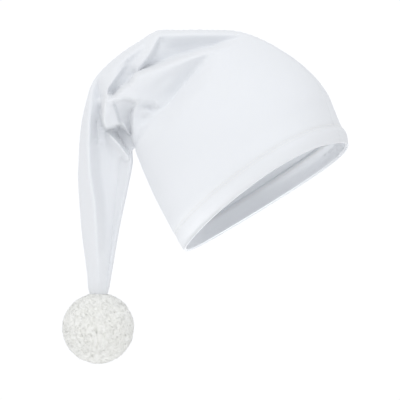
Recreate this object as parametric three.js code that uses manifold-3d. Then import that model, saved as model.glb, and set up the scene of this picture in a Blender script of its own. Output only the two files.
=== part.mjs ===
// A white cotton jersey nightcap: a deep crown that narrows into a long tail, the tail folded
// over at the top so that it hangs down behind, and a yarn pompom at its tip.
// Millimetres. Z is up, X points to the wearer's front and Y to the wearer's left.
// The origin is the middle of the head opening, to within 6 mm.

import * as THREE from 'three';
import Module from 'manifold-3d';
import { mergeVertices } from 'three/addons/utils/BufferGeometryUtils.js';

const DEGREE = Math.PI / 180;

// The cloth, and the edge of it that is turned in and sewn down inside the rim
const CLOTH = { wall: 1.8, seamShare: 2.5, fold: 5 };
const HEM = { thickness: 1.2, gap: 0.35, sections: 3 };

// The head opening: a rounded oval that leans down towards the nape
const RIM = { tilt: 32 * DEGREE, arch: 5, roll: 0.9 };

// The pompom, and the ball of locks that it is trimmed to
const POMPOM = { x: -188, z: -136, radius: 38.5, locks: 60, lockDepth: 3, detail: 7 };
const TIE = { gap: 0.5, depth: 1.5 };

// How finely the cloth is divided: points along the side with the folds, along the plain side,
// and steps between two rows of a table
const FOLDED_SIDE_POINTS = 28;
const PLAIN_SIDE_POINTS = 16;
const STEPS = 2;

// Sections of the crown, from the rim up. Each is a flattened oval from its back end to its
// front end: x and z of both ends, half its width, how pointed each end is, how square the oval
// is, how much wider it is towards the front, and its share of the rim's arch.
const CROWN_COLUMNS = ['backX', 'backZ', 'frontX', 'frontZ', 'half', 'backPoint', 'frontPoint',
  'square', 'wider', 'arch'];
const CROWN = [
  [-91.0, -56.0, 81.0, 58.0, 70, 0.0, 0.00, 0.10, 0.40, 0.4],
  [-96.5, -46.0, 77.5, 70.5, 74, 0.1, 0.00, 0.15, 0.32, 0.5],
  [-102.5, -37.0, 72.5, 78.5, 76, 0.2, 0.00, 0.15, 0.22, 0.5],
  [-110.5, -23.0, 67.5, 93.0, 77, 0.2, 0.00, 0.10, 0.15, 0.4],
  [-121.0, -4.5, 60.0, 111.0, 79, 0.2, 0.00, 0.05, 0.10, 0.2],
  [-130.0, 13.0, 46.5, 129.0, 77, 0.2, 0.05, 0.00, 0.05, 0.0],
  [-138.0, 30.5, 26.5, 146.0, 71, 0.2, 0.15, 0.00, 0.00, 0.0],
  [-145.0, 46.0, -0.5, 162.0, 59, 0.2, 0.35, 0.00, 0.00, 0.0],
];

// Sections of the bend. They fan out from a small arc about the pivot, where the tail folds
// over the back of the crown: x and z of the outer end, half the width, how pointed that end is.
const PIVOT = { x: -148, z: 48, radius: 3, from: -5 * DEGREE, sweep: 190 * DEGREE, point: 0.2, calm: 20 };
const BEND_COLUMNS = ['outerX', 'outerZ', 'half', 'outerPoint'];
const BEND = [
  [-31.5, 173.0, 46, 0.40],
  [-67.5, 175.0, 34, 0.20],
  [-99.5, 175.0, 28, 0.10],
  [-122.5, 174.5, 25, 0.10],
  [-142.0, 164.0, 24, 0.20],
  [-163.0, 151.5, 23, 0.40],
  [-183.5, 135.0, 22, 0.35],
  [-196.0, 119.5, 21, 0.30],
  [-202.5, 100.5, 20, 0.30],
  [-207.5, 79.5, 19, 0.30],
  [-210.0, 60.0, 18, 0.30],
];

// Sections of the hanging tail down to its tip, which the pompom is tied on: x and z of the
// front end, x and z of the back end, half the width, how pointed both ends are.
const TAIL_COLUMNS = ['frontX', 'frontZ', 'backX', 'backZ', 'half', 'point'];
const TAIL = [
  [-151.0, 44.0, -210.5, 51.0, 18, 0.3],
  [-150.5, 37.0, -211.0, 39.0, 18, 0.3],
  [-154.5, 16.0, -211.5, 16.0, 18, 0.3],
  [-166.0, -34.0, -207.5, -35.0, 16, 0.3],
  [-174.0, -77.5, -201.5, -78.5, 12, 0.3],
  [-177.5, -96.0, -200.0, -96.0, 10, 0.3],
  [-182.0, -107.0, -195.0, -107.0, 6, 0.3],
];
const TIED_SECTIONS = 3;

// The folds are drawn on an upright plane turned a little about Z, as lines of known height.
// A line is a row of points: how far across, how far up, and how far the cloth stands out
// there. Between the lines the cloth is taut.
const FOLD_PLANE = { turn: 21 * DEGREE, left: -208, right: -14, bottom: -70, top: 184 };
const FOLD_GRID = { step: 2, rounds: 400, pull: 1.85, softness: 3.5, fade: 0.35 };

const FOLD_LIMITS = {
  outline: [[-22, 173, 0], [-65, 175, 0], [-114, 174, 0], [-152, 152, 0], [-183, 120, 0],
    [-194, 80, 0], [-197, 16, 0], [-196, -18, 0]],
  crown: [[-22, 173, 0], [-28, 156, 0], [-43, 143, 0], [-78, 105, 0], [-105, 75, 0], [-134, 50, 0]],
  tail: [[-196, -50, 0], [-156, -50, 0]],
};

const FOLDS = {
  rollCrest: [[-30, 164, 1], [-54, 155, 7], [-86, 146, 13], [-112, 135, 17], [-137, 126, 19],
    [-150, 113, 18], [-162, 101, 16]],
  lipFoot: [[-30, 168, -3], [-56, 161, -9], [-88, 152, -15], [-114, 142, -18], [-140, 132, -14],
    [-154, 118, -10], [-164, 107, -6]],
  rollMiddle: [[-58, 152, 5], [-77, 141, 10], [-97, 130, 14], [-117, 116, 15], [-138, 108, 15]],
  rollFoot: [[-63, 142, -3], [-82, 125, -10], [-96, 109, -12], [-112, 92, -9]],
  underLip: [[-161, 101, 14], [-151, 104, 15], [-135, 101, 14]],
  faceFoot: [[-139, 96, 1], [-143, 79, -5], [-142, 62, -9]],
  sideRidge: [[-134, 98, 10], [-140, 84, 8], [-139, 62, 4], [-138, 53, 0]],
  knuckleEdge: [[-165, 106, 14], [-170, 93, 17], [-170, 77, 17], [-161, 76, 13], [-155, 79, 9]],
  knuckleFoot: [[-172, 106, -6], [-174, 94, -14], [-175, 80, -15], [-171, 69, -13], [-160, 70, -11]],
  pocket: [[-155, 75, -11], [-146, 61, -16], [-141, 54, -11]],
  tailRidge: [[-181, 112, 3], [-179, 86, 5], [-179, 50, 5], [-177, 10, 4], [-173, -28, 2]],
  tailValley: [[-175, 64, -13], [-175, 49, -11], [-173, 20, -7], [-169, -15, -4]],
  tailBody: [[-163, 39, 0], [-161, 10, 2], [-161, -28, 2]],
  tailLip: [[-160, 60, 3], [-148, 49, 5], [-142, 36, 3], [-144, 16, 1]],
  panelEdge: [[-144, 142, 3], [-156, 128, 5], [-167, 112, 4]],
  panelFoot: [[-148, 135, -5], [-158, 120, -8], [-165, 109, -4]],
  peakRidge: [[-112, 172, 1], [-118, 158, 7], [-126, 145, 8], [-136, 132, 6]],
  peakFoot: [[-108, 164, -8], [-113, 152, -14], [-121, 142, -16]],
};

const BACK_FOLDS = {
  backRoll: [[-40, 158, 3], [-75, 138, 10], [-110, 116, 12], [-136, 96, 8]],
  backValley: [[-62, 161, -4], [-96, 150, -8], [-128, 132, -9], [-150, 112, -7]],
  backHollow: [[-112, 88, -8], [-137, 67, -9]],
  backTailRidge: [[-187, 100, 3], [-186, 50, 4], [-183, -10, 2]],
  backTailValley: [[-172, 92, -7], [-169, 45, -7], [-169, 0, -4]],
};

const cottonJersey = new THREE.MeshStandardMaterial({ color: 0xedeff2, roughness: 0.92, metalness: 0 });
const turnedJersey = new THREE.MeshStandardMaterial({ color: 0xe7e9ed, roughness: 0.92, metalness: 0 });
const pompomYarn = new THREE.MeshStandardMaterial({ color: 0xe8e8e4, roughness: 0.95, metalness: 0 });

function named(columns, row) {
  return Object.fromEntries(columns.map((column, index) => [column, row[index]]));
}

function smoothstep(value) {
  const clamped = Math.min(Math.max(value, 0), 1);
  return clamped * clamped * (3 - 2 * clamped);
}

// Every table's rows as sections with the same named values

function crownSections() {
  return CROWN.map((row) => {
    const s = named(CROWN_COLUMNS, row);
    return {
      inner: new THREE.Vector2(s.backX, s.backZ),
      outer: new THREE.Vector2(s.frontX, s.frontZ),
      half: s.half,
      innerPoint: s.backPoint,
      outerPoint: s.frontPoint,
      square: s.square,
      wider: s.wider,
      arch: s.arch,
    };
  });
}

function plainSection(inner, outer, half, innerPoint, outerPoint) {
  return { inner, outer, half, innerPoint, outerPoint, square: 0, wider: 0, arch: 0 };
}

function bendSections() {
  return BEND.map((row, index) => {
    const s = named(BEND_COLUMNS, row);
    const angle = PIVOT.from + (PIVOT.sweep * (index + 0.5)) / BEND.length;
    const inner = new THREE.Vector2(
      PIVOT.x + PIVOT.radius * Math.cos(angle),
      PIVOT.z + PIVOT.radius * Math.sin(angle),
    );
    return plainSection(inner, new THREE.Vector2(s.outerX, s.outerZ), s.half, PIVOT.point, s.outerPoint);
  });
}

function tailSections() {
  return TAIL.map((row) => {
    const s = named(TAIL_COLUMNS, row);
    const front = new THREE.Vector2(s.frontX, s.frontZ);
    return plainSection(front, new THREE.Vector2(s.backX, s.backZ), s.half, s.point, s.point);
  });
}

// A curve through four neighbouring values, so that the sections run smoothly into each other
function through(a, b, c, d, t) {
  return 0.5 * (2 * b + (c - a) * t + (2 * a - 5 * b + 4 * c - d) * t * t
    + (3 * b - a - 3 * c + d) * t * t * t);
}

function between(sections, index, t) {
  const at = (step) => sections[Math.min(Math.max(index + step, 0), sections.length - 1)];
  const [a, b, c, d] = [at(-1), at(0), at(1), at(2)];
  const number = (key) => through(a[key], b[key], c[key], d[key], t);
  const place = (key) => new THREE.Vector2(
    through(a[key].x, b[key].x, c[key].x, d[key].x, t),
    through(a[key].y, b[key].y, c[key].y, d[key].y, t),
  );
  return {
    inner: place('inner'),
    outer: place('outer'),
    half: number('half'),
    innerPoint: number('innerPoint'),
    outerPoint: number('outerPoint'),
    square: number('square'),
    wider: number('wider'),
    arch: number('arch'),
  };
}

function allSections() {
  const rows = [...crownSections(), ...bendSections(), ...tailSections()];
  const sections = [];
  for (let index = 0; index < rows.length - 1; index += 1) {
    for (let step = 0; step < STEPS; step += 1) {
      sections.push(between(rows, index, step / STEPS));
    }
  }
  sections.push(rows[rows.length - 1]);
  return sections;
}

// Angles round a section: 0 at its outer end, half a turn at its inner end, and the side with
// the folds first
function anglesRound() {
  const angles = [];
  for (let index = 0; index < FOLDED_SIDE_POINTS; index += 1) {
    angles.push((Math.PI * index) / FOLDED_SIDE_POINTS);
  }
  for (let index = 0; index < PLAIN_SIDE_POINTS; index += 1) {
    angles.push(Math.PI + (Math.PI * index) / PLAIN_SIDE_POINTS);
  }
  return angles;
}

const ANGLES = anglesRound();
const AROUND = ANGLES.length;
const RIM_AXIS = new THREE.Vector3(-Math.sin(RIM.tilt), 0, Math.cos(RIM.tilt));

// The points round one section. An inset moves them inwards, and more at a pointed end, where
// the two sides of the cloth are sewn together.
function sectionRing(section, inset) {
  const middle = section.inner.clone().add(section.outer).multiplyScalar(0.5);
  const reach = section.outer.clone().sub(section.inner).multiplyScalar(0.5);
  const length = reach.length();
  const half = section.half - inset;
  const power = 1 / (1 + section.square);
  return ANGLES.map((angle) => {
    const along = Math.cos(angle);
    const side = Math.sin(angle);
    const point = along > 0 ? section.outerPoint : section.innerPoint;
    const shortened = (length - inset * (1 + CLOTH.seamShare * point)) / length;
    const u = Math.sign(along) * Math.abs(along) ** power * shortened;
    const sharpened = power * (1 + point * along * along);
    const width = Math.sign(side) * Math.abs(side) ** sharpened * (1 + section.wider * along);
    const place = new THREE.Vector3(middle.x + reach.x * u, -half * width, middle.y + reach.y * u);
    return place.addScaledVector(RIM_AXIS, RIM.arch * section.arch * side * side);
  });
}

// The height of the folds over their plane: the lines are fixed, and every other point of a
// grid is relaxed until it is the mean of its neighbours, like a taut skin
function foldHeights(lines) {
  const { left, right, bottom, top } = FOLD_PLANE;
  const { step, rounds, pull, softness } = FOLD_GRID;
  const columns = Math.round((right - left) / step) + 1;
  const rows = Math.round((top - bottom) / step) + 1;
  const heights = new Float64Array(columns * rows);
  const weights = new Float64Array(columns * rows);

  for (const points of lines) {
    for (let index = 0; index < points.length - 1; index += 1) {
      const [acrossA, upA, heightA] = points[index];
      const [acrossB, upB, heightB] = points[index + 1];
      const marks = Math.ceil((2 * Math.hypot(acrossB - acrossA, upB - upA)) / step);
      for (let mark = 0; mark <= marks; mark += 1) {
        const t = mark / marks;
        const column = Math.round((acrossA + (acrossB - acrossA) * t - left) / step);
        const row = Math.round((upA + (upB - upA) * t - bottom) / step);
        heights[row * columns + column] += heightA + (heightB - heightA) * t;
        weights[row * columns + column] += 1;
      }
    }
  }
  for (let cell = 0; cell < heights.length; cell += 1) {
    heights[cell] /= Math.max(weights[cell], 1);
  }

  for (let round = 0; round < rounds; round += 1) {
    for (let row = 1; row < rows - 1; row += 1) {
      for (let column = 1; column < columns - 1; column += 1) {
        const cell = row * columns + column;
        if (weights[cell] === 0) {
          const mean = (heights[cell - 1] + heights[cell + 1]
            + heights[cell - columns] + heights[cell + columns]) / 4;
          heights[cell] += pull * (mean - heights[cell]);
        }
      }
    }
  }

  // Softens the creases to what cloth of this thickness makes
  const reach = Math.ceil((2 * softness) / step);
  function softened(source, stride, limit, position) {
    const result = new Float64Array(source.length);
    for (let cell = 0; cell < source.length; cell += 1) {
      let sum = 0;
      let total = 0;
      for (let offset = -reach; offset <= reach; offset += 1) {
        const place = position(cell) + offset;
        if (place >= 0 && place < limit) {
          const weight = Math.exp(-0.5 * ((offset * step) / softness) ** 2);
          sum += weight * source[cell + offset * stride];
          total += weight;
        }
      }
      result[cell] = sum / total;
    }
    return result;
  }
  const across = softened(heights, 1, columns, (cell) => cell % columns);
  const soft = softened(across, columns, rows, (cell) => Math.floor(cell / columns));

  return (acrossAt, upAt) => {
    const column = (acrossAt - left) / step;
    const row = (upAt - bottom) / step;
    if (column < 0 || row < 0 || column >= columns - 1 || row >= rows - 1) {
      return 0;
    }
    const cell = Math.floor(row) * columns + Math.floor(column);
    const s = column - Math.floor(column);
    const t = row - Math.floor(row);
    return (soft[cell] * (1 - s) + soft[cell + 1] * s) * (1 - t)
      + (soft[cell + columns] * (1 - s) + soft[cell + columns + 1] * s) * t;
  };
}

// How far each point of the cloth moves for the folds, worked out on its outer face. The fold
// never reaches past the middle of the cap, and on a steep side of it the inner face lies
// further in, so that the cloth keeps its thickness.
function foldShifts(rings) {
  const limits = Object.values(FOLD_LIMITS);
  const front = foldHeights([...limits, ...Object.values(FOLDS)]);
  const back = foldHeights([...limits, ...Object.values(BACK_FOLDS)]);
  const towards = new THREE.Vector3(Math.sin(FOLD_PLANE.turn), -Math.cos(FOLD_PLANE.turn), 0);
  const across = new THREE.Vector3(Math.cos(FOLD_PLANE.turn), Math.sin(FOLD_PLANE.turn), 0);
  const outer = [];
  const inner = [];
  rings.forEach((ring, index) => {
    outer.push([]);
    inner.push([]);
    ring.forEach((point, place) => {
      const facing = normalAt(rings, index, place).dot(towards);
      const heights = facing > 0 ? front : back;
      const fromPivot = Math.hypot(point.x - PIVOT.x, point.z - PIVOT.z);
      const shown = smoothstep(Math.abs(facing) / FOLD_GRID.fade) * smoothstep(fromPivot / PIVOT.calm);
      const [u, v] = [point.dot(across), point.z];
      const room = Math.max(Math.abs(point.y) - CLOTH.fold, 0) / Math.cos(FOLD_PLANE.turn);
      const height = Math.max(heights(u, v) * shown, -room);
      const slopeAcross = (heights(u + 1, v) - heights(u - 1, v)) / 2;
      const slopeUp = (heights(u, v + 1) - heights(u, v - 1)) / 2;
      const steep = Math.hypot(1, slopeAcross * shown, slopeUp * shown) - 1;
      const thicker = Math.min(CLOTH.wall * steep, Math.max(room + height, 0) / 2);
      outer[index].push(towards.clone().multiplyScalar(Math.sign(facing) * height));
      inner[index].push(towards.clone().multiplyScalar(Math.sign(facing) * (height - thicker)));
    });
  });
  return { outer, inner };
}

function normalAt(rings, index, place) {
  const next = rings[index][(place + 1) % AROUND];
  const last = rings[index][(place + AROUND - 1) % AROUND];
  const above = rings[Math.min(index + 1, rings.length - 1)][place];
  const below = rings[Math.max(index - 1, 0)][place];
  return above.clone().sub(below).cross(next.clone().sub(last)).normalize();
}

function moved(rings, shifts) {
  return rings.map((ring, index) => ring.map((point, place) => point.clone().add(shifts[index][place])));
}

// A closed mesh from rings of points, each joined to the next. The last ring joins the first,
// or both ends are closed by a point in their middle.
function meshFromRings(rings, endsMeet) {
  const points = rings.flat();
  const faces = [];
  const joins = endsMeet ? rings.length : rings.length - 1;
  for (let index = 0; index < joins; index += 1) {
    const from = index * AROUND;
    const to = ((index + 1) % rings.length) * AROUND;
    for (let place = 0; place < AROUND; place += 1) {
      const next = (place + 1) % AROUND;
      faces.push([from + place, from + next, to + next], [from + place, to + next, to + place]);
    }
  }
  if (!endsMeet) {
    const start = points.length;
    points.push(middleOf(rings[0]), middleOf(rings[rings.length - 1]));
    const last = (rings.length - 1) * AROUND;
    for (let place = 0; place < AROUND; place += 1) {
      const next = (place + 1) % AROUND;
      faces.push([next, place, start], [last + place, last + next, start + 1]);
    }
  }
  return facesOutward(points, faces);
}

function middleOf(ring) {
  const sum = ring.reduce((total, point) => total.add(point), new THREE.Vector3());
  return sum.divideScalar(ring.length);
}

function facesOutward(points, faces) {
  const volume = faces.reduce((sum, [a, b, c]) => (
    sum + points[a].dot(points[b].clone().cross(points[c]))
  ), 0);
  const order = volume > 0 ? faces : faces.map(([a, b, c]) => [a, c, b]);
  const geometry = new THREE.BufferGeometry().setFromPoints(points);
  geometry.setIndex(order.flat());
  return geometry;
}

// The crown and tail: the outer face from the rim to the tip, then the inner face back again
function crownAndTailGeometry(sections, shifts) {
  const outer = moved(sections.map((section) => sectionRing(section, 0)), shifts.outer);
  const inner = moved(sections.map((section) => sectionRing(section, CLOTH.wall)), shifts.inner);
  const rolled = sectionRing(sections[0], CLOTH.wall / 2);
  rolled.forEach((point) => point.addScaledVector(RIM_AXIS, -RIM.roll));
  const fromTip = inner.slice(0, -1).reverse();
  return meshFromRings([...fromTip, rolled, ...outer].reverse(), false);
}

// The hem lies against the inner face, a small gap clear of it
function hemGeometry(sections) {
  const band = sections.slice(0, (HEM.sections - 1) * STEPS + 1);
  const outside = band.map((section) => sectionRing(section, CLOTH.wall + HEM.gap));
  const insetInside = CLOTH.wall + HEM.gap + HEM.thickness;
  const inside = band.map((section) => sectionRing(section, insetInside));
  return meshFromRings([...outside, ...inside.reverse()], true);
}

// A ball whose surface rises to the middle of each lock of yarn and sinks between them
function lockedBall() {
  const geometry = new THREE.IcosahedronGeometry(POMPOM.radius, POMPOM.detail);
  geometry.deleteAttribute('normal');
  geometry.deleteAttribute('uv');
  const ball = mergeVertices(geometry);
  const goldenAngle = Math.PI * (3 - Math.sqrt(5));
  const locks = Array.from({ length: POMPOM.locks }, (_, index) => {
    const height = 1 - (2 * index + 1) / POMPOM.locks;
    const around = Math.sqrt(1 - height * height);
    const angle = index * goldenAngle;
    return new THREE.Vector3(around * Math.cos(angle), around * Math.sin(angle), height);
  });
  const lockAngle = 2 / Math.sqrt(POMPOM.locks);
  const position = ball.getAttribute('position');
  const point = new THREE.Vector3();
  for (let index = 0; index < position.count; index += 1) {
    point.fromBufferAttribute(position, index).normalize();
    const nearest = Math.min(...locks.map((lock) => point.angleTo(lock)));
    const sunk = POMPOM.lockDepth * Math.min(nearest / lockAngle, 1) ** 2;
    point.multiplyScalar(POMPOM.radius - sunk);
    position.setXYZ(index, point.x, point.y, point.z);
  }
  return ball;
}

function solidFrom(wasm, geometry) {
  const vertProperties = Float32Array.from(geometry.getAttribute('position').array);
  const triVerts = Uint32Array.from(geometry.getIndex().array);
  return new wasm.Manifold(new wasm.Mesh({ numProp: 3, vertProperties, triVerts }));
}

function geometryFrom(solid) {
  const mesh = solid.getMesh();
  const geometry = new THREE.BufferGeometry();
  const positions = new Float32Array(mesh.numVert * 3);
  for (let vertex = 0; vertex < mesh.numVert; vertex += 1) {
    for (let axis = 0; axis < 3; axis += 1) {
      positions[vertex * 3 + axis] = mesh.vertProperties[vertex * mesh.numProp + axis];
    }
  }
  geometry.setAttribute('position', new THREE.BufferAttribute(positions, 3));
  geometry.setIndex(new THREE.BufferAttribute(mesh.triVerts, 1));
  return geometry;
}

// The ball has a socket in its top for the tip of the tail, which the yarn is tied round
function pompomGeometry(wasm, sections) {
  const tied = sections.slice(-TIED_SECTIONS * STEPS).map((section) => sectionRing(section, -TIE.gap));
  const floor = tied[tied.length - 1].map((point) => point.clone());
  floor.forEach((point) => point.setZ(point.z - TIE.depth));
  const socket = meshFromRings([...tied, floor], false);
  socket.translate(-POMPOM.x, 0, -POMPOM.z);
  return geometryFrom(solidFrom(wasm, lockedBall()).subtract(solidFrom(wasm, socket)));
}

function sewn(name, geometry, material) {
  geometry.computeVertexNormals();
  const mesh = new THREE.Mesh(geometry, material);
  mesh.name = name;
  return mesh;
}

const wasm = await Module();
wasm.setup();

const sections = allSections();
const shifts = foldShifts(sections.map((section) => sectionRing(section, 0)));

const nightcap = new THREE.Group();
nightcap.add(sewn('crown_and_tail', crownAndTailGeometry(sections, shifts), cottonJersey));
nightcap.add(sewn('hem', hemGeometry(sections), turnedJersey));

const pompom = sewn('pompom', pompomGeometry(wasm, sections), pompomYarn);
pompom.position.set(POMPOM.x, 0, POMPOM.z);
nightcap.add(pompom);

export default nightcap;
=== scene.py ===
# A white cotton jersey nightcap: a deep crown, a long tail folded over at the top so that it
# hangs down behind, and a yarn pompom at its tip. It is held up as a head holds it.
# Metres. Z is up, X points to the wearer's front and Y to the wearer's left, and the origin is
# the middle of the head opening to within 6 mm. The tables are in millimetres, as a pattern is.

import math

import bpy
import numpy as np
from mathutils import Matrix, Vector


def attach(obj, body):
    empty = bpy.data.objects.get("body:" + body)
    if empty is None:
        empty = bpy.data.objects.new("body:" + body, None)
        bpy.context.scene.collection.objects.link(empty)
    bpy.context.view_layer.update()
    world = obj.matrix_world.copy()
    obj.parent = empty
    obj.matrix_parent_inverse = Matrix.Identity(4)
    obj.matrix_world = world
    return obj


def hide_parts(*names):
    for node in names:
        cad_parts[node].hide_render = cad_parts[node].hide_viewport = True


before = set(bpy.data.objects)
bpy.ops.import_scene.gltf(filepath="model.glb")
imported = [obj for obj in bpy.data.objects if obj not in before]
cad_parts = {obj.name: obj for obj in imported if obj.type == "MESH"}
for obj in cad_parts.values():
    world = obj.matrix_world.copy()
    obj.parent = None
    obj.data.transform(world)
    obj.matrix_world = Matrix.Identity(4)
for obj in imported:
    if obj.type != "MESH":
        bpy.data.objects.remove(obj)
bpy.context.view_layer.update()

MM = 0.001


# Camera
# A long lens at the height of the head opening, on the wearer's right and a little in front.
# The opening lies to the right of the middle of the picture.

VIEW_TURN = math.radians(21)
TOWARDS_CAMERA = np.array([math.sin(VIEW_TURN), -math.cos(VIEW_TURN), 0.0])
ACROSS_VIEW = np.array([math.cos(VIEW_TURN), math.sin(VIEW_TURN), 0.0])
PICTURE_WIDTH = 0.416
LENS = 1000
SENSOR = 36
AIM_ACROSS = -0.0702
AIM_UP = -0.0026

camera_data = bpy.data.cameras.new("camera")
camera_data.lens = LENS
camera_data.sensor_width = SENSOR
camera = bpy.data.objects.new("camera", camera_data)
bpy.context.collection.objects.link(camera)
aim = Vector(ACROSS_VIEW) * AIM_ACROSS + Vector((0, 0, AIM_UP))
camera.location = aim + Vector(TOWARDS_CAMERA) * (PICTURE_WIDTH * LENS / SENSOR)
camera.rotation_euler = (aim - camera.location).to_track_quat("-Z", "Y").to_euler()
bpy.context.scene.camera = camera


# Crown and tail
# Two mirrored panels of white cotton jersey, sewn together along the front edge and the back
# edge. The cloth is about 1.8 mm thick, its edge is turned in at the rim, and the tail is
# folded over the back of the crown in soft rolls with sharp hollows between them.

RIM_TILT = math.radians(32)
RIM_AXIS = np.array([-math.sin(RIM_TILT), 0.0, math.cos(RIM_TILT)])
RIM_ARCH = 5
CLOTH_WALL = 1.8
SEAM_SHARE = 2.5
FRONT_ROOM = (1.5, 5)
BACK_ROOM = (0.6, 3)

# Sections of the crown from the rim up: x and z of the back end and of the front end, half the
# width, how pointed each end is, how square, how much wider in front, and the rim's arch.
CROWN = [
    [-91.0, -56.0, 81.0, 58.0, 70, 0.0, 0.00, 0.10, 0.40, 0.4],
    [-96.5, -46.0, 77.5, 70.5, 74, 0.1, 0.00, 0.15, 0.32, 0.5],
    [-102.5, -37.0, 72.5, 78.5, 76, 0.2, 0.00, 0.15, 0.22, 0.5],
    [-110.5, -23.0, 67.5, 93.0, 77, 0.2, 0.00, 0.10, 0.15, 0.4],
    [-121.0, -4.5, 60.0, 111.0, 79, 0.2, 0.00, 0.05, 0.10, 0.2],
    [-130.0, 13.0, 46.5, 129.0, 77, 0.2, 0.05, 0.00, 0.05, 0.0],
    [-138.0, 30.5, 26.5, 146.0, 71, 0.2, 0.15, 0.00, 0.00, 0.0],
    [-145.0, 46.0, -0.5, 162.0, 59, 0.2, 0.35, 0.00, 0.00, 0.0],
]

# Sections of the bend, fanned out from a small arc about the pivot: x and z of the outer end,
# half the width, and how pointed that end is.
PIVOT_X = -148
PIVOT_Z = 48
PIVOT_RADIUS = 3
PIVOT_FROM = math.radians(-5)
PIVOT_SWEEP = math.radians(190)
PIVOT_POINT = 0.2
PIVOT_CALM = 10
BEND = [
    [-31.5, 173.0, 46, 0.40],
    [-67.5, 175.0, 34, 0.20],
    [-99.5, 175.0, 28, 0.10],
    [-122.5, 174.5, 25, 0.10],
    [-142.0, 164.0, 24, 0.20],
    [-163.0, 151.5, 23, 0.40],
    [-183.5, 135.0, 22, 0.35],
    [-196.0, 119.5, 21, 0.30],
    [-202.5, 100.5, 20, 0.30],
    [-207.5, 79.5, 19, 0.30],
    [-210.0, 60.0, 18, 0.30],
]

# Sections of the hanging tail down to its tip: x and z of the front end and of the back end,
# half the width, and how pointed both ends are.
TAIL = [
    [-151.0, 44.0, -210.5, 51.0, 18, 0.3],
    [-150.5, 37.0, -211.0, 39.0, 18, 0.3],
    [-154.5, 16.0, -211.5, 16.0, 18, 0.3],
    [-166.0, -34.0, -207.5, -35.0, 16, 0.3],
    [-174.0, -77.5, -201.5, -78.5, 12, 0.3],
    [-177.5, -96.0, -200.0, -96.0, 10, 0.3],
    [-182.0, -107.0, -195.0, -107.0, 6, 0.3],
]

# Rows of the mesh between one section and the next
CROWN_STEPS = [6, 4, 5, 6, 6, 6, 6]
BEND_STEPS = [20] * len(BEND)
TAIL_STEPS = [4, 6, 12, 28, 24, 12, 8]
FOLDED_SIDE_POINTS = 150
PLAIN_SIDE_POINTS = 60
SEAM_GAP = 0.012

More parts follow.
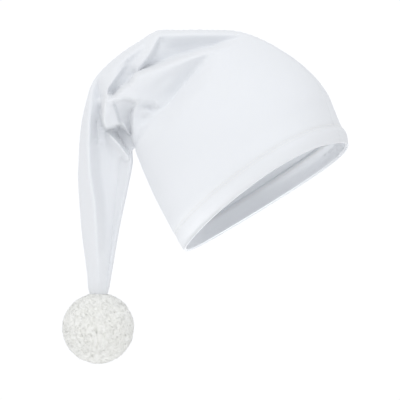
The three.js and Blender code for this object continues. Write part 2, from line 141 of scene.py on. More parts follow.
# Folds, as lines on the upright plane that faces the camera: how crisp a line is, then how far
# across, how far up and how far out it lies. Between the lines the cloth is taut.
SOFT = 0.0
CRISP = 1.0
FOLD_LIMITS = [
    [CRISP, (-22.5, 173, 0), (-65, 175, 0), (-93, 175, 0), (-114, 174, 0), (-132.5, 163, 0),
     (-152.5, 151.5, 0), (-171, 135.5, 0), (-183.5, 120, 0), (-190, 100.5, 0), (-194, 79.5, 0),
     (-196, 60, 0), (-197.5, 16, 0), (-194, -34, 0), (-188, -78, 0), (-185, -100, 0)],
    [SOFT, (-22.5, 173, 0), (-28.5, 155.5, 0), (-43, 143, 0), (-62, 124.5, 0), (-78.5, 104.5, 0),
     (-91, 89, 0), (-105.5, 74.5, 0), (-122, 62, 0), (-134.5, 49.5, 0)],
    [SOFT, (-185, -105, 0), (-165, -105, 0)],
]
FOLDS = [
    # The upper roll, which the tail is folded back in: its crest, flank and foot
    [SOFT, (-30.5, 164, 1), (-54.5, 154.5, 8), (-86, 146, 15), (-112, 135.5, 20), (-129.5, 130, 22),
     (-137, 126.5, 22), (-142, 118, 21), (-150.5, 113, 20), (-159.5, 104, 20), (-163, 100.5, 19)],
    [CRISP, (-30.5, 165.5, -7), (-55.5, 158, -24), (-87, 150, -27), (-113.5, 140, -20),
     (-130.5, 134, -15), (-139, 130, -14), (-144, 121.5, -14), (-152.5, 117, -13), (-162, 106.5, -9)],
    [SOFT, (-57.5, 153.5, 6), (-78.5, 144.5, 10), (-99.5, 134.5, 14), (-116, 124.5, 17),
     (-129.5, 116, 18), (-145, 108.5, 19)],
    [SOFT, (-59, 150.5, 1), (-76.5, 140, -2), (-93, 127.5, -2), (-106.5, 114, 0), (-118, 105.5, 4)],
    [SOFT, (-61, 146, -3), (-73.5, 137, -10), (-85, 125.5, -16), (-98.5, 109.5, -19),
     (-105, 102.5, -17), (-113, 98, -10)],
    [CRISP, (-62, 143, -5), (-69, 135, -12), (-80, 125.5, -20), (-94, 109.5, -26),
     (-100, 100.5, -27), (-109, 92, -24), (-117, 82, -15), (-126, 78, -7)],
    [CRISP, (-129, 100, 12), (-121, 100, 5), (-114, 96, -6)],
    [SOFT, (-130, 95.5, 0), (-124, 96, -7), (-118, 94, -14), (-116, 89, -16), (-120, 84, -14),
     (-128, 83, -6)],
    [SOFT, (-127, 90.5, 4), (-122, 89.5, 0)],
    # The lip over the lower end of the roll, and the flat face under it
    [CRISP, (-161.5, 101.5, 19), (-156.5, 103, 20), (-151.5, 104, 20), (-145, 103.5, 20),
     (-135.5, 101, 18)],
    [CRISP, (-159, 99, 7), (-151.5, 101, 5), (-143, 100.5, 0), (-138.5, 98, -4)],
    [CRISP, (-139.5, 94, -10), (-142, 88, -16), (-142.5, 78.5, -20), (-141.5, 66, -23)],
    [CRISP, (-135.5, 97.5, 11), (-139, 92, 9), (-140, 85, 8), (-140.3, 74.5, 7), (-139.5, 62, 4),
     (-138, 52.5, 0)],
    [CRISP, (-159, 97, 3), (-155, 87, -4), (-151.5, 78, -9), (-146.5, 70, -13), (-142, 62, -16)],
    # The knuckle, where the tail turns down, and the hollows on both sides of it
    [CRISP, (-165.5, 106.5, 17), (-169, 100.5, 22), (-170.5, 93, 21), (-171, 81.5, 16),
     (-169.5, 75.5, 9), (-167, 73.3, 7), (-161.5, 75.5, 5), (-155, 77.5, 3)],
    [CRISP, (-161.5, 98, 12), (-158, 88, 6), (-155, 79, 0)],
    [SOFT, (-166.5, 96, 16), (-165, 88, 13), (-162, 80, 6)],
    [CRISP, (-171, 106.5, -6), (-173.5, 100.5, -12), (-173.5, 94, -18), (-174, 82.5, -19),
     (-172.5, 72.5, -18), (-167.5, 70, -18), (-160.5, 71.5, -16)],
    [CRISP, (-156, 75, -24), (-150.5, 70, -28), (-145, 62, -28), (-140.5, 54, -24)],
    [CRISP, (-158, 71, -24), (-153, 65, -28), (-147, 57.5, -28), (-142, 50, -22)],
    # The hanging tail
    [SOFT, (-185, 118, 3), (-186, 101.5, 7), (-186, 70, 11), (-186.5, 49, 13), (-185.5, 28, 13),
     (-182.5, 8, 13), (-180, -3, 13), (-178, -34, 10), (-176.5, -60, 7), (-176, -90, 3)],
    [CRISP, (-178, 80, -18), (-177, 67, -19), (-177.5, 58, -16)],
    [SOFT, (-176, 49, -13), (-175, 28, -12), (-172, 8, -11), (-171, -3, -10), (-169, -34, -6),
     (-171, -60, -3)],
    [SOFT, (-169, 65, -20), (-168, 55, -19), (-166, 45, -18), (-165, 28, -16), (-164, 8, -13),
     (-163, -3, -12), (-163, -34, -8)],
    [SOFT, (-152, 44, -16), (-153, 28, -15), (-155, 8, -14), (-156, -3, -13), (-160, -34, -9),
     (-164, -60, -5), (-167, -90, -2)],
    [CRISP, (-166, 67, -4), (-158.5, 59, 3), (-152, 52, 5), (-146.5, 46, 4), (-144.5, 40, 0)],
    [CRISP, (-168.5, 64, -14), (-162, 55, -11), (-155.5, 48, -10), (-150.5, 42, -10)],
    # The flat panel on the outer side of the roll, and its hollows
    [CRISP, (-144.5, 142.5, 1), (-150, 136, 4), (-156.5, 127.5, 6), (-162, 120, 9),
     (-166.5, 114, 8), (-167.5, 107.5, 5)],
    [CRISP, (-146, 136, -3), (-152.5, 127, -5), (-158.5, 119.5, -4), (-163.5, 113, -3),
     (-166, 107.5, -1)],
    [SOFT, (-143.5, 142, -1), (-142, 134.5, -6), (-140.5, 131.5, -9)],
    [SOFT, (-123, 161, 2), (-132, 150.5, -2), (-140, 143.5, -3)],
    [SOFT, (-157, 116, -6), (-151, 121.5, -8), (-145, 125.5, -9)],
    # The peak's ridge and the valley on its right
    [SOFT, (-112.5, 172, 3), (-115.5, 164, 5), (-119.5, 155.5, 6), (-125, 147, 5),
     (-131.5, 138, 3), (-136, 132, 0)],
    [CRISP, (-111, 166, -4), (-113, 158.5, -9), (-116, 151.5, -10), (-121, 144, -8),
     (-127, 138, -10)],
    [SOFT, (-38, 167, -5), (-55, 164, -11), (-80.5, 160, -15), (-96, 157, -16), (-106, 153, -14)],
    [SOFT, (-33, 170, 3), (-65, 170.5, 6), (-91, 170.5, 8), (-108.5, 169.5, 7)],
    [SOFT, (-131, 158, 7), (-143, 149, 10), (-154, 141, 11), (-163, 133, 9)],
    # The shoulder
    [CRISP, (-174, 127, -3), (-176, 120, -11), (-176.5, 114, -15), (-175.5, 104.5, -16)],
    [SOFT, (-170, 124.5, 3), (-170, 114, 1), (-169.5, 108.5, 3)],
]
BACK_FOLDS = [
    [SOFT, (-40, 158, 3), (-75, 138, 10), (-110, 116, 12), (-136, 96, 8)],
    [CRISP, (-62, 161, -4), (-96, 150, -8), (-128, 132, -9), (-150, 112, -7)],
    [SOFT, (-112, 88, -8), (-137, 67, -9)],
    [SOFT, (-187, 100, 3), (-186, 50, 4), (-183, -10, 2)],
    [CRISP, (-172, 92, -7), (-169, 45, -7), (-169, 0, -4)],
]
FOLD_FADE = 0.35

# Shallow creases in the taut cloth of the crown: how deep and how wide each is, then its line
CREASES = [
    [1.5, 8, (-46, 140), (-38, 125), (-30, 112)],
    [0.8, 5, (-110, 75), (-118, 65), (-127, 55)],
]

PLANE_LEFT = -212
PLANE_RIGHT = 104
PLANE_BOTTOM = -115
PLANE_TOP = 187
PLANE_STEPS = [4, 2, 1, 0.5]
SOLVE_ROUNDS = 120
SOLVE_PULL = 1.9
SOFT_BLUR = 2.2
CRISP_BLUR = 0.7


def bend_rows():
    rows = []
    for index, (outer_x, outer_z, half, outer_point) in enumerate(BEND):
        angle = PIVOT_FROM + PIVOT_SWEEP * (index + 0.5) / len(BEND)
        inner_x = PIVOT_X + PIVOT_RADIUS * math.cos(angle)
        inner_z = PIVOT_Z + PIVOT_RADIUS * math.sin(angle)
        rows.append([inner_x, inner_z, outer_x, outer_z, half, PIVOT_POINT, outer_point, 0, 0, 0])
    return rows


def tail_rows():
    return [row[:5] + [row[5], row[5], 0, 0, 0] for row in TAIL]


SECTIONS = np.array(CROWN + bend_rows() + tail_rows())


def row_places():
    places = []
    for index, steps in enumerate(CROWN_STEPS + BEND_STEPS + TAIL_STEPS):
        places.extend(index + np.arange(steps) / steps)
    return np.array(places + [len(SECTIONS) - 1])


def sections_at(places):
    first = np.clip(places.astype(int), 0, len(SECTIONS) - 2)
    t = (places - first)[:, None]
    a, b, c, d = (SECTIONS[np.clip(first + step, 0, len(SECTIONS) - 1)] for step in (-1, 0, 1, 2))
    return 0.5 * (2 * b + (c - a) * t + (2 * a - 5 * b + 4 * c - d) * t ** 2
                  + (3 * b - a - 3 * c + d) * t ** 3)


def angles_round():
    """Evenly round each side, with two more points close to each seam."""
    folded = np.pi * np.arange(1, FOLDED_SIDE_POINTS) / FOLDED_SIDE_POINTS
    plain = np.pi * (1 + np.arange(1, PLAIN_SIDE_POINTS) / PLAIN_SIDE_POINTS)
    close = [side + gap for side in (0, np.pi) for gap in (0, SEAM_GAP)]
    before = [side - SEAM_GAP for side in (np.pi, 2 * np.pi)]
    return np.sort(np.concatenate([folded, plain, close, before]))


def cloth_rings(places, angles, inset):
    inner_x, inner_z, outer_x, outer_z, half, inner_point, outer_point, square, wider, arch = (
        column[:, None] for column in sections_at(places).T)
    along = np.cos(angles)[None, :]
    side = np.sin(angles)[None, :]
    reach_x = (outer_x - inner_x) / 2
    reach_z = (outer_z - inner_z) / 2
    length = np.hypot(reach_x, reach_z)
    power = 1 / (1 + square)
    point = np.where(along > 0, outer_point, inner_point)
    shortened = (length - inset * (1 + SEAM_SHARE * point)) / length
    u = np.sign(along) * np.abs(along) ** power * shortened
    width = np.sign(side) * np.abs(side) ** (power * (1 + point * along ** 2)) * (1 + wider * along)
    rings = np.stack([(inner_x + outer_x) / 2 + reach_x * u, -(half - inset) * width,
                      (inner_z + outer_z) / 2 + reach_z * u], axis=2)
    return rings + RIM_AXIS * (RIM_ARCH * arch * side ** 2)[:, :, None]


def ring_normals(rings):
    round_the_ring = np.roll(rings, -1, axis=1) - np.roll(rings, 1, axis=1)
    up_the_rows = np.gradient(rings, axis=0)
    normals = np.cross(up_the_rows, round_the_ring)
    return normals / np.maximum(np.linalg.norm(normals, axis=2, keepdims=True), 1e-9)


def heights_up(rings):
    """How far up the cloth each point lies from the first ring, measured along the rows."""
    up_steps = np.linalg.norm(np.diff(rings, axis=0), axis=2)
    return np.concatenate([np.zeros((1, rings.shape[1])), np.cumsum(up_steps, axis=0)])


def smoothstep(values):
    values = np.clip(values, 0, 1)
    return values * values * (3 - 2 * values)


def grid_size(step):
    columns = int(round((PLANE_RIGHT - PLANE_LEFT) / step)) + 1
    rows = int(round((PLANE_TOP - PLANE_BOTTOM) / step)) + 1
    return rows, columns


def drawn_lines(lines, step):
    totals = np.zeros(grid_size(step))
    weights = np.zeros(grid_size(step))
    for points in lines:
        for start, end in zip(points, points[1:]):
            marks = int(2 * math.hypot(end[0] - start[0], end[1] - start[1]) / step) + 2
            t = np.linspace(0, 1, marks)
            columns = np.round((start[0] + (end[0] - start[0]) * t - PLANE_LEFT) / step).astype(int)
            rows = np.round((start[1] + (end[1] - start[1]) * t - PLANE_BOTTOM) / step).astype(int)
            np.add.at(totals, (rows, columns), start[2] + (end[2] - start[2]) * t)
            np.add.at(weights, (rows, columns), 1)
    return totals / np.maximum(weights, 1), weights > 0


def taut_skin(lines):
    """Heights on a grid: fixed on the lines, and elsewhere the mean of their neighbours."""
    heights = None
    for step in PLANE_STEPS:
        fixed_heights, fixed = drawn_lines(lines, step)
        rows, columns = fixed.shape
        if heights is None:
            heights = np.zeros(fixed.shape)
        else:
            coarse_rows = np.minimum(np.arange(rows) // 2, heights.shape[0] - 1)
            coarse_columns = np.minimum(np.arange(columns) // 2, heights.shape[1] - 1)
            heights = heights[coarse_rows][:, coarse_columns]
        heights = np.where(fixed, fixed_heights, heights)
        free = ~fixed[1:-1, 1:-1]
        odd = (np.add.outer(np.arange(rows - 2), np.arange(columns - 2)) % 2).astype(bool)
        for _ in range(SOLVE_ROUNDS):
            for cells in (free & odd, free & ~odd):
                middle = heights[1:-1, 1:-1]
                mean = (heights[:-2, 1:-1] + heights[2:, 1:-1]
                        + heights[1:-1, :-2] + heights[1:-1, 2:]) / 4
                middle += np.where(cells, SOLVE_PULL * (mean - middle), 0)
    return heights


def blurred(grid, width):
    step = PLANE_STEPS[-1]
    reach = int(round(3 * width / step))
    weights = np.exp(-0.5 * (np.arange(-reach, reach + 1) * step / width) ** 2)
    weights /= weights.sum()
    for axis in (0, 1):
        padding = [(reach, reach) if side == axis else (0, 0) for side in (0, 1)]
        padded = np.pad(grid, padding, mode="edge")
        grid = sum(weight * np.take(padded, np.arange(grid.shape[axis]) + place, axis)
                   for place, weight in enumerate(weights))
    return grid


def gap_to_line(across, up, points):
    """The distance on the view plane to the nearest of the line's stretches."""
    nearest = np.full(across.shape, np.inf)
    for start, end in zip(points, points[1:]):
        run = np.subtract(end, start)
        t = ((across - start[0]) * run[0] + (up - start[1]) * run[1]) / (run @ run)
        t = np.clip(t, 0, 1)
        gap = np.hypot(across - start[0] - run[0] * t, up - start[1] - run[1] * t)
        nearest = np.minimum(nearest, gap)
    return nearest


def crease_depths():
    step = PLANE_STEPS[-1]
    rows, columns = grid_size(step)
    across, up = np.meshgrid(PLANE_LEFT + step * np.arange(columns),
                             PLANE_BOTTOM + step * np.arange(rows))
    depths = np.zeros((rows, columns))
    for depth, width, *points in CREASES:
        depths += depth * np.exp(-(gap_to_line(across, up, points) / width) ** 2)
    return depths


def fold_heights(lines):
    heights = taut_skin([points for _, *points in lines])
    crispness = taut_skin([[(across, up, crisp) for across, up, _ in points]
                           for crisp, *points in lines])
    crispness = blurred(crispness, SOFT_BLUR)
    return blurred(heights, SOFT_BLUR) * (1 - crispness) + blurred(heights, CRISP_BLUR) * crispness


def sampled(grid, across, up):
    step = PLANE_STEPS[-1]
    column = np.clip((across - PLANE_LEFT) / step, 0, grid.shape[1] - 1.001)
    row = np.clip((up - PLANE_BOTTOM) / step, 0, grid.shape[0] - 1.001)
    left = column.astype(int)
    low = row.astype(int)
    s = column - left
    t = row - low
    return ((grid[low, left] * (1 - s) + grid[low, left + 1] * s) * (1 - t)
            + (grid[low + 1, left] * (1 - s) + grid[low + 1, left + 1] * s) * t)


def folded(rings, inset, front, back):
    """The same rings with their folds. Nothing passes the middle of the cap."""
    facing = ring_normals(rings) @ TOWARDS_CAMERA
    across = rings @ ACROSS_VIEW
    up = rings[:, :, 2]
    heights = np.where(facing > 0, sampled(front, across, up), sampled(back, across, up))
    from_pivot = np.hypot(rings[:, :, 0] - PIVOT_X, rings[:, :, 2] - PIVOT_Z)
    shown = smoothstep(np.abs(facing) / FOLD_FADE) * smoothstep(from_pivot / PIVOT_CALM)
    half_thickness = np.abs(rings[:, :, 1]) + inset
    room = np.where(facing > 0, half_thickness * FRONT_ROOM[0] - FRONT_ROOM[1],
                    half_thickness * BACK_ROOM[0] - BACK_ROOM[1])
    room = np.maximum(room, 0) / math.cos(VIEW_TURN)
    heights = np.maximum(heights * shown, -room)
    return rings + TOWARDS_CAMERA * (np.sign(facing) * heights)[:, :, None]


def linear(hex_colour):
    """An sRGB hex colour as the linear colour that a shader takes."""
    values = [int(hex_colour[place:place + 2], 16) / 255 for place in (1, 3, 5)]
    return [value / 12.92 if value <= 0.04045 else ((value + 0.055) / 1.055) ** 2.4
            for value in values] + [1.0]


def add_node(owner, kind, settings=None, inputs=None):
    """A node of a material or a world, with its settings. Inputs are values or other outputs."""
    node = owner.node_tree.nodes.new(kind)
    for name, value in (settings or {}).items():
        setattr(node, name, value)
    for name, value in (inputs or {}).items():
        if isinstance(value, bpy.types.NodeSocket):
            owner.node_tree.links.new(value, node.inputs[name])
        else:
            node.inputs[name].default_value = value
    return node


def new_material(name, sockets):
    """A material, its shader, and what is set on the shader's own sockets."""
    material = bpy.data.materials.new(name)
    material.use_nodes = True
    shader = material.node_tree.nodes["Principled BSDF"]
    for socket, value in sockets.items():
        shader.inputs[socket].default_value = value
    return material, shader


def mesh_piece(name, points, faces, material, uvs=None):
    """A smooth piece from points in metres. UVs are given for each point."""
    mesh = bpy.data.meshes.new(name)
    mesh.from_pydata(points.tolist(), [], faces)
    mesh.validate()
    if uvs is not None:
        corners = np.zeros(len(mesh.loops), dtype=np.int32)
        mesh.loops.foreach_get("vertex_index", corners)
        layer = mesh.uv_layers.new(name="pattern")
        layer.data.foreach_set("uv", uvs[corners].astype(np.float32).ravel())
    mesh.polygons.foreach_set("use_smooth", [True] * len(mesh.polygons))
    mesh.materials.append(material)
    piece = bpy.data.objects.new(name, mesh)
    bpy.context.collection.objects.link(piece)
    return piece


def ring_faces(rows, around, first=0):
    faces = []
    for row in range(rows - 1):
        start = first + row * around
        for place in range(around):
            after = (place + 1) % around
            faces.append((start + place, start + after, start + around + after,
                          start + around + place))
    return faces


# The pattern is drawn a little coarser than a fine jersey, which has 1.3 wales to the mm. The
# wave texture at a scale of 1 repeats after WAVE_REPEAT.
JERSEY_COLOUR = "#E9EBEE"
WALES_PER_MM = 1.0
COURSES_PER_MM = 1.3
WAVE_REPEAT = 0.314
KNIT_BUMP = 0.12
KNIT_DEPTH = 0.00015

jersey, jersey_shader = new_material("white_cotton_jersey_fine_knit_matt", {
    "Base Color": linear(JERSEY_COLOUR),
    "Roughness": 0.92,
    "Specular IOR Level": 0.2,
    "Subsurface Weight": 0.3,
    "Subsurface Radius": (1, 1, 1),
    "Subsurface Scale": 0.002,
    "Sheen Weight": 0.1,
    "Sheen Roughness": 0.5,
})
pattern = add_node(jersey, "ShaderNodeUVMap", {"uv_map": "pattern"})
wales = add_node(jersey, "ShaderNodeTexWave", {"bands_direction": "X"},
                 {"Vector": pattern.outputs["UV"], "Scale": WALES_PER_MM * WAVE_REPEAT,
                  "Distortion": 0.6, "Detail Scale": 2.0})
courses = add_node(jersey, "ShaderNodeTexWave", {"bands_direction": "DIAGONAL"},
                   {"Vector": pattern.outputs["UV"], "Scale": COURSES_PER_MM * WAVE_REPEAT,
                    "Distortion": 0.8, "Detail Scale": 2.0})
stitches = add_node(jersey, "ShaderNodeMath", {"operation": "ADD"},
                    {0: wales.outputs["Fac"], 1: courses.outputs["Fac"]})
knit = add_node(jersey, "ShaderNodeBump", {},
                {"Height": stitches.outputs["Value"], "Strength": KNIT_BUMP,
                 "Distance": KNIT_DEPTH})
jersey.node_tree.links.new(knit.outputs["Normal"], jersey_shader.inputs["Normal"])

# The seams and the hem: how deep and how long the marks of the sewing are. The puckers' length
# varies slowly up the seam, and on the narrow tip of the tail all of this fades.
SEAM_DEPTH = 0.9
SEAM_HALF_ANGLE = 0.001
PUCKER_DEPTH = 0.5
PUCKER_LENGTH = 7.5
PUCKER_REACH = 0.16
PUCKER_SWAY = 1.5
PUCKER_SWAY_TURNS = 5.3
NARROW_HALF_WIDTH = 20
HEM_WIDTH = 18.5
HEM_DIP = 0.55
HEM_SWELL = 0.5
DIP_WIDTH = 2.2


def with_seams_and_hem(rings):
    """The outer rings with a groove and small puckers along both seams, and the sewn hem's dip."""
    normals = ring_normals(rings)
    heights = heights_up(rings)
    sink = HEM_DIP * np.exp(-((heights - HEM_WIDTH) / DIP_WIDTH) ** 2)
    sink -= HEM_SWELL * np.sin(np.pi * np.clip(heights / HEM_WIDTH, 0, 1)) ** 2
    sink *= np.arange(len(rings))[:, None] > 0
    for seam_angle in (0, math.pi):
        gap = np.abs((angles - seam_angle + math.pi) % (2 * math.pi) - math.pi)
        seam_heights = heights[:, [int(np.argmin(gap))]]
        phase = 2 * math.pi * seam_heights / PUCKER_LENGTH
        waves = np.sin(phase + PUCKER_SWAY * np.sin(phase / PUCKER_SWAY_TURNS)) * 0.5 + 0.5
        near = np.exp(-(gap / PUCKER_REACH) ** 2)[None, :]
        groove = np.where(gap < SEAM_HALF_ANGLE, SEAM_DEPTH, 0)[None, :]
        sink = sink + PUCKER_DEPTH * waves * near + groove
    half_widths = np.abs(rings[:, :, 1]).max(axis=1, keepdims=True)
    room = np.clip(half_widths / NARROW_HALF_WIDTH, 0, 1)
    return rings - normals * (sink * room)[:, :, None]


# The inside is seen only through the opening, so it has every fourth row, and every second
# point round each row.
LIP_STEPS = 5
INNER_ROW_STEP = 4
INNER_POINT_STEP = 2
places = row_places()
angles = angles_round()
front_folds = fold_heights(FOLD_LIMITS + FOLDS) - crease_depths()
back_folds = fold_heights(FOLD_LIMITS + BACK_FOLDS)
outer = with_seams_and_hem(folded(cloth_rings(places, angles, 0), 0, front_folds, back_folds))

inner_places = places[::INNER_ROW_STEP]
inner_angles = angles[::INNER_POINT_STEP]
inner = folded(cloth_rings(inner_places, inner_angles, CLOTH_WALL), CLOTH_WALL, front_folds,
               back_folds)


def pattern_coordinates(rings):
    """Millimetres round and up the cloth, so that the knit keeps its size."""
    round_steps = np.linalg.norm(np.roll(rings, -1, axis=1) - rings, axis=2)
    u = np.concatenate([np.zeros((len(rings), 1)), np.cumsum(round_steps, axis=1)[:, :-1]], axis=1)
    v = np.repeat(heights_up(rings).mean(axis=1, keepdims=True), rings.shape[1], axis=1)
    return np.stack([u, v], axis=2).reshape(-1, 2)


def crown_and_tail_mesh():
    lip = []
    for step in range(1, LIP_STEPS):
        turn = math.pi * step / LIP_STEPS
        inset = CLOTH_WALL / 2 * (1 - math.cos(turn))
        ring = cloth_rings(places[:1], angles, inset)
        lip.append(ring - RIM_AXIS * (CLOTH_WALL / 2) * math.sin(turn))
    fine = np.concatenate([outer[::-1]] + lip + [cloth_rings(places[:1], angles, CLOTH_WALL)])
    around = len(angles)
    coarse_around = len(inner_angles)
    points = np.concatenate([fine.reshape(-1, 3), inner[1:].reshape(-1, 3)])
    faces = ring_faces(len(fine), around)
    rim_start = (len(fine) - 1) * around
    inner_start = len(fine) * around
    for place in range(coarse_around):
        after = (place + 1) % coarse_around
        start = rim_start + INNER_POINT_STEP * place
        end = rim_start + INNER_POINT_STEP * after
        faces.append((start, start + 1, inner_start + place))
        faces.append((start + 1, end, inner_start + after, inner_start + place))
    faces.extend(ring_faces(len(inner) - 1, coarse_around, inner_start))
    tip = (len(inner) - 2) * coarse_around + inner_start
    faces.append(tuple(range(around)))
    faces.append(tuple(tip + place for place in reversed(range(coarse_around))))
    uvs = np.concatenate([pattern_coordinates(fine), pattern_coordinates(inner[1:])])
    return points * MM, faces, uvs


cap_points, cap_faces, cap_uvs = crown_and_tail_mesh()
crown_and_tail = mesh_piece("crown_and_tail_cloth", cap_points, cap_faces, jersey, cap_uvs)
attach(crown_and_tail, "root")
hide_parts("crown_and_tail")


# Hem
# The edge of the jersey, turned in by 22 mm and sewn down, so that its wrong side shows inside
# the opening. Its two faces and its free edge are given as depths under the cap's outside.

HEM_OUTSIDE = 1.3
HEM_INSIDE = 3.0
HEM_EDGE = 2.5
HEM_SECTIONS = 2
# The hem's colour is lighter than the jersey's. Part of that is real: the doubled cloth lets less
# light through. The rest is painted light, standing in for the extra light the hem band gets near the
# rim.
HEM_COLOUR_PARTLY_PAINTED_LIGHT = "#F2F4F7"

turned_jersey, turned_shader = new_material("white_cotton_jersey_doubled_wrong_side_with_painted_light", {
    "Base Color": linear(HEM_COLOUR_PARTLY_PAINTED_LIGHT),
    "Roughness": 0.95,
    "Specular IOR Level": 0.15,
    "Sheen Weight": 0.25,
})
turned_up = add_node(turned_jersey, "ShaderNodeUVMap", {"uv_map": "pattern"})
turned_courses = add_node(turned_jersey, "ShaderNodeTexWave", {"bands_direction": "Y"},
                          {"Vector": turned_up.outputs["UV"], "Scale": COURSES_PER_MM * WAVE_REPEAT,
                           "Distortion": 1.2, "Detail Scale": 2.0})
turned_knit = add_node(turned_jersey, "ShaderNodeBump", {},
                       {"Height": turned_courses.outputs["Fac"], "Strength": KNIT_BUMP * 1.5,
                        "Distance": KNIT_DEPTH})
turned_jersey.node_tree.links.new(turned_knit.outputs["Normal"], turned_shader.inputs["Normal"])

hem_cloth = outer[:sum(CROWN_STEPS[:HEM_SECTIONS]) + 1]
hem_normals = ring_normals(hem_cloth)
hem_outside = hem_cloth - hem_normals * HEM_OUTSIDE
hem_inside = hem_cloth - hem_normals * HEM_INSIDE
hem_inside[-1] = hem_cloth[-1] - hem_normals[-1] * HEM_EDGE
hem_rings = np.concatenate([hem_outside, hem_inside[::-1]])
hem_points = hem_rings.reshape(-1, 3) * MM
hem_faces = ring_faces(len(hem_rings), len(angles))
last_ring = (len(hem_rings) - 1) * len(angles)
for place in range(len(angles)):
    after = (place + 1) % len(angles)
    hem_faces.append((last_ring + place, last_ring + after, after, place))
hem = mesh_piece("hem_turned_in", hem_points, hem_faces, turned_jersey,
                 pattern_coordinates(hem_rings))
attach(hem, "root")
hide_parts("hem")


# Stitching
# White cotton thread. Two rows of a twin needle hold the hem from outside, and an overlocked
# edge of looped thread covers the free edge of the hem inside.

THREAD_COLOUR = "#F4F4F2"
THREAD_WIDTH = 0.42
TWIN_ROWS = (17.0, 20.0)
SEWN_RINGS = 20
STITCH_LENGTH = 3.0
STITCH_SPACE = 4.2
STITCH_STEPS = 5
STITCH_SIDES = 6
STITCH_RISE = 0.35
STITCH_SINK = 0.12
LOOP_SPACE = 3.4
LOOP_STEPS = 8
LOOP_WIDTH = 3.2
LOOP_STAND = 0.25
OVERLOCK_UP = 21.5

thread, _ = new_material("white_cotton_sewing_thread", {
    "Base Color": linear(THREAD_COLOUR),
    "Roughness": 0.7,
    "Specular IOR Level": 0.3,
    "Sheen Weight": 0.2,
})


def line_round_the_cap(rings, up):
    """The closed line at a height up from the rim along the cloth, and the cloth's normals."""
    heights = heights_up(rings)
    normals = ring_normals(rings)
    points = np.zeros((rings.shape[1], 3))
    facing = np.zeros((rings.shape[1], 3))
    for column in range(rings.shape[1]):
        for axis in range(3):
            points[column, axis] = np.interp(up, heights[:, column], rings[:, column, axis])
            facing[column, axis] = np.interp(up, heights[:, column], normals[:, column, axis])
    return points, facing / np.linalg.norm(facing, axis=1, keepdims=True)


def along_the_line(points, facing, distances):
    """The places at these distances along a closed line, and the unit vectors given with it."""
    closed = np.concatenate([points, points[:1]])
    closed_facing = np.concatenate([facing, facing[:1]])
    steps = np.linalg.norm(np.diff(closed, axis=0), axis=1)
    reached = np.concatenate([[0], np.cumsum(steps)])
    distances = np.mod(distances, reached[-1])
    place, out = (np.stack([np.interp(distances, reached, values[:, axis]) for axis in range(3)],
                           axis=-1) for values in (closed, closed_facing))
    return place, out / np.linalg.norm(out, axis=-1, keepdims=True)


def length_round(points):
    return np.linalg.norm(np.roll(points, -1, axis=0) - points, axis=1).sum()


def thread_tube(path, out, width, first):
    """Points and faces of one piece of thread along a path, with closed ends."""
    run = np.gradient(path, axis=0)
    run /= np.linalg.norm(run, axis=1, keepdims=True)
    side = np.cross(run, out)
    side /= np.linalg.norm(side, axis=1, keepdims=True)
    up = np.cross(side, run)
    turns = 2 * math.pi * np.arange(STITCH_SIDES) / STITCH_SIDES
    rings = (path[:, None, :] + width / 2 * (np.cos(turns)[None, :, None] * side[:, None, :]
                                             + np.sin(turns)[None, :, None] * up[:, None, :]))
    faces = ring_faces(len(path), STITCH_SIDES, first)
    last = first + (len(path) - 1) * STITCH_SIDES
    faces.append(tuple(first + place for place in reversed(range(STITCH_SIDES))))
    faces.append(tuple(last + place for place in range(STITCH_SIDES)))
    return rings.reshape(-1, 3), faces


def twin_needle_rows():
    points = []
    faces = []
    count = 0
    for row_up in TWIN_ROWS:
        line, facing = line_round_the_cap(outer[:SEWN_RINGS], row_up)
        stitches = int(length_round(line) / STITCH_SPACE)
        for stitch in range(stitches):
            start = stitch * length_round(line) / stitches
            share = np.linspace(0, 1, STITCH_STEPS)
            path, out = along_the_line(line, facing, start + share * STITCH_LENGTH)
            rise = THREAD_WIDTH * (STITCH_RISE * np.sin(math.pi * share) - STITCH_SINK)[:, None]
            tube, tube_faces = thread_tube(path + out * rise, out, THREAD_WIDTH, count)
            points.append(tube)
            faces.extend(tube_faces)
            count += len(tube)
    return np.concatenate(points) * MM, faces


def overlocked_edge():
    """One looped thread that zigzags over the hem's free edge all the way round."""
    line, facing = line_round_the_cap(hem_inside, OVERLOCK_UP)
    above, _ = line_round_the_cap(hem_inside, OVERLOCK_UP - LOOP_WIDTH)
    across = above - line
    loops = int(length_round(line) / LOOP_SPACE)
    steps = loops * LOOP_STEPS
    distances = np.arange(steps) * length_round(line) / steps
    place, out = along_the_line(line, facing, distances)
    _, over = along_the_line(line, across, distances)
    phase = 2 * math.pi * np.arange(steps) / LOOP_STEPS
    sway = (0.5 - 0.5 * np.cos(phase))[:, None] * LOOP_WIDTH
    path = place - out * LOOP_STAND + over * sway
    closed = np.concatenate([path, path[:1]])
    closed_out = np.concatenate([out, out[:1]])
    points, faces = thread_tube(closed, -closed_out, THREAD_WIDTH, 0)
    return points * MM, faces


for name, mesh_parts in (("hem_twin_stitches", twin_needle_rows()),
                         ("hem_overlock", overlocked_edge())):
    stitching = mesh_piece(name, *mesh_parts, thread)
    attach(stitching, "root")


# Pompom
# Off-white brushed yarn, tied in the middle and trimmed to a ball of 77 mm. The soft cut ends
# lie close, and a few creases part them where the tufts lean apart.

POMPOM_X = -188
POMPOM_Z = -136
POMPOM_RADIUS = 38.5
POMPOM_COLOUR = "#FAFAF6"
POMPOM_SHADE = "#F3F3EE"
BALL_SINK = 0.7
TUFTS = 70
TUFT_DEPTH = 0.6
TUFT_SIZE = 0.16
LUMPS = 9
LUMP_SIZE = 0.7
LUMP_HEIGHT = 1.2
LUMP_LEVEL = 1.5
MOST_OUTSIDE = 0.8
STRANDS = 13000
STRAND_LENGTH = (1.5, 3.5)
STRAND_WIDTH = 0.26
STRAND_ROOT = 0.3
STRAND_RISE = (0.3, 0.7)
STRAND_STRAY = 8
# How far along a strand each of its rings lies, and its width there
STRAND_RINGS = ((0, 1.0), (0.5, 0.9), (1.0, 0.4))
STRAND_SIDES = 3
SEED = 7
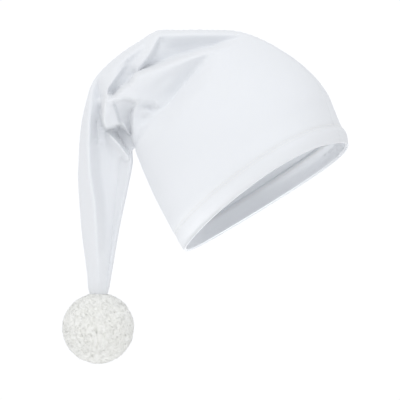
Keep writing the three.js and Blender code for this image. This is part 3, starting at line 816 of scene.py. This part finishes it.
# Creases on the side that faces the camera: how deep and how wide, then points across and up
POMPOM_CREASES = [
    [1.2, 1.6, (18, 17.5), (27, 19), (36, 22)],
    [0.8, 1.8, (-38, -9), (-24, -8), (-9, -10)],
    [0.8, 1.2, (-9, -7), (-6, -15), (-8, -23)],
    [0.7, 1.1, (-3, -5), (-1, -14), (-2, -22)],
    [0.7, 1.2, (5, -6), (6, -15), (3, -22)],
    [2.4, 3.4, (-15, -40), (-12, -35), (-7, -31)],
    [0.8, 2.2, (8, 32), (13, 24), (18, 17)],
    [0.5, 2.2, (24, -2), (31, -8), (37, -8)],
]

yarn, yarn_shader = new_material("off_white_brushed_yarn", {
    "Roughness": 0.95,
    "Specular IOR Level": 0.1,
    "Subsurface Weight": 0.5,
    "Subsurface Radius": (1, 1, 1),
    "Subsurface Scale": 0.003,
    "Sheen Weight": 0.2,
    "Sheen Roughness": 0.6,
})
place_on_ball = add_node(yarn, "ShaderNodeTexCoord")
mottle = add_node(yarn, "ShaderNodeTexNoise", {},
                  {"Vector": place_on_ball.outputs["Object"], "Scale": 240.0, "Detail": 3.0})
yarn_colour = add_node(yarn, "ShaderNodeMix", {"data_type": "RGBA"},
                       {0: mottle.outputs["Fac"], 6: linear(POMPOM_SHADE),
                        7: linear(POMPOM_COLOUR)})
yarn.node_tree.links.new(yarn_colour.outputs[2], yarn_shader.inputs["Base Color"])

random = np.random.default_rng(SEED)


def random_directions(count):
    directions = random.normal(size=(count, 3))
    return directions / np.linalg.norm(directions, axis=1, keepdims=True)


TUFT_DIRECTIONS = random_directions(TUFTS)
LUMP_DIRECTIONS = random_directions(LUMPS)


def pompom_radius(directions):
    """The ball's radius: it sinks between tufts and at the creases, and swells at the lumps."""
    tuft_gaps = np.arccos(np.clip(directions @ TUFT_DIRECTIONS.T, -1, 1))
    tuft_gaps.sort(axis=1)
    between = np.exp(-((tuft_gaps[:, 1] - tuft_gaps[:, 0]) / TUFT_SIZE) ** 2)
    lump_gaps = np.arccos(np.clip(directions @ LUMP_DIRECTIONS.T, -1, 1))
    lumps = np.exp(-(lump_gaps / LUMP_SIZE) ** 2).sum(axis=1)
    radius = POMPOM_RADIUS - TUFT_DEPTH * between + LUMP_HEIGHT * (lumps - LUMP_LEVEL)
    across = directions @ ACROSS_VIEW * POMPOM_RADIUS
    up = directions[:, 2] * POMPOM_RADIUS
    faces_camera = directions @ TOWARDS_CAMERA > -0.1
    for depth, width, *points in POMPOM_CREASES:
        crease = depth * np.exp(-(gap_to_line(across, up, points) / width) ** 2)
        radius -= np.where(faces_camera, crease, 0)
    return np.minimum(radius, POMPOM_RADIUS + MOST_OUTSIDE) - BALL_SINK


bpy.ops.mesh.primitive_ico_sphere_add(subdivisions=7, radius=1)
ball = bpy.context.object
ball_points = np.array([vertex.co[:] for vertex in ball.data.vertices])
ball_points /= np.linalg.norm(ball_points, axis=1, keepdims=True)
ball_faces = [tuple(polygon.vertices) for polygon in ball.data.polygons]
bpy.data.objects.remove(ball)
pompom_middle = np.array([POMPOM_X, 0, POMPOM_Z])
ball_points = (pompom_middle + ball_points * pompom_radius(ball_points)[:, None]) * MM
pompom = mesh_piece("pompom_ball", ball_points, ball_faces, yarn)
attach(pompom, "root")
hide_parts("pompom")


def strand_mesh():
    """Thin strands that rise a little and lie over sideways. A few stray further out."""
    directions = random_directions(STRANDS)
    sideways = np.cross(directions, random_directions(STRANDS))
    sideways /= np.linalg.norm(sideways, axis=1, keepdims=True)
    third = np.cross(directions, sideways)
    start = directions * (pompom_radius(directions) - STRAND_ROOT)[:, None]
    rise = random.uniform(*STRAND_RISE, (STRANDS, 1))
    rise = rise + random.uniform(0, 1, (STRANDS, 1)) ** STRAND_STRAY
    length = random.uniform(*STRAND_LENGTH, (STRANDS, 1))
    points = []
    for share, width in STRAND_RINGS:
        middle = start + directions * rise * math.sin(share * math.pi / 2)
        middle = middle + sideways * length * share ** 1.5
        for corner in range(STRAND_SIDES):
            turn = 2 * math.pi * corner / STRAND_SIDES
            offset = directions * math.cos(turn) + third * math.sin(turn)
            points.append(middle + offset * STRAND_WIDTH / 2 * width)
    points = np.stack(points, axis=1).reshape(-1, 3)
    faces = []
    strand_points = len(STRAND_RINGS) * STRAND_SIDES
    for strand in range(STRANDS):
        first = strand * strand_points
        faces.extend(ring_faces(len(STRAND_RINGS), STRAND_SIDES, first))
        faces.append(tuple(range(first + strand_points - STRAND_SIDES, first + strand_points)))
    return (points + pompom_middle) * MM, faces


strand_points, strand_faces = strand_mesh()
strands = mesh_piece("pompom_yarn_ends", strand_points, strand_faces, yarn)
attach(strands, "root")


# Floor and light
# A pale floor far below the cap in a plain white room, with one large soft light from above and
# in front, and a small one from below that reaches into the opening.

FLOOR_Z = -0.55
FLOOR_HALF = 6.0
FLOOR_COLOUR = "#E4E4E4"
FLOOR_GLOW = 0.33
ROOM_COLOUR = "#FCFDFF"
ROOM_LIGHT = 0.80
WHITE_BEHIND = 1.05
KEY_POWER = 10
KEY_SIZE = 1.0
KEY_SPREAD = math.radians(180)
KEY_PLACE = -ACROSS_VIEW * 0.45 + TOWARDS_CAMERA * 1.3 + np.array([0, 0, 1.6])
KEY_AIM = (-0.08, 0, 0)
LOW_POWER = 0.032
LOW_SIZE = 0.08
LOW_SPREAD = math.radians(36)
LOW_PLACE = (0.06, -0.05, -0.32)
LOW_AIM = (-0.035, 0.02, 0)

paper, _ = new_material("white_paper", {
    "Base Color": linear(FLOOR_COLOUR),
    "Roughness": 1.0,
    "Emission Color": linear("#FFFFFF"),
    "Emission Strength": FLOOR_GLOW,
})
floor_corners = np.array([[-1, -1, 0], [1, -1, 0], [1, 1, 0], [-1, 1, 0]]) * FLOOR_HALF
mesh_piece("floor", floor_corners + [0, 0, FLOOR_Z], [(0, 1, 2, 3)], paper)

world = bpy.data.worlds.new("room")
bpy.context.scene.world = world
world.use_nodes = True
sky = world.node_tree.nodes["Background"]
sky.inputs["Color"].default_value = linear(ROOM_COLOUR)
seen = add_node(world, "ShaderNodeLightPath")
strength = add_node(world, "ShaderNodeMapRange", {},
                    {"Value": seen.outputs["Is Camera Ray"], "To Min": ROOM_LIGHT,
                     "To Max": WHITE_BEHIND})
world.node_tree.links.new(strength.outputs["Result"], sky.inputs["Strength"])


def soft_light(name, place, aim_point, size, power, spread):
    light = bpy.data.lights.new(name, "AREA")
    light.spread = spread
    light.size = size
    light.energy = power
    lamp = bpy.data.objects.new(name, light)
    bpy.context.collection.objects.link(lamp)
    lamp.location = Vector(place)
    direction = Vector(aim_point) - lamp.location
    lamp.rotation_euler = direction.to_track_quat("-Z", "Y").to_euler()


soft_light("key_light", KEY_PLACE, KEY_AIM, KEY_SIZE, KEY_POWER, KEY_SPREAD)
soft_light("low_light", LOW_PLACE, LOW_AIM, LOW_SIZE, LOW_POWER, LOW_SPREAD)

bpy.context.scene.view_settings.view_transform = "Standard"
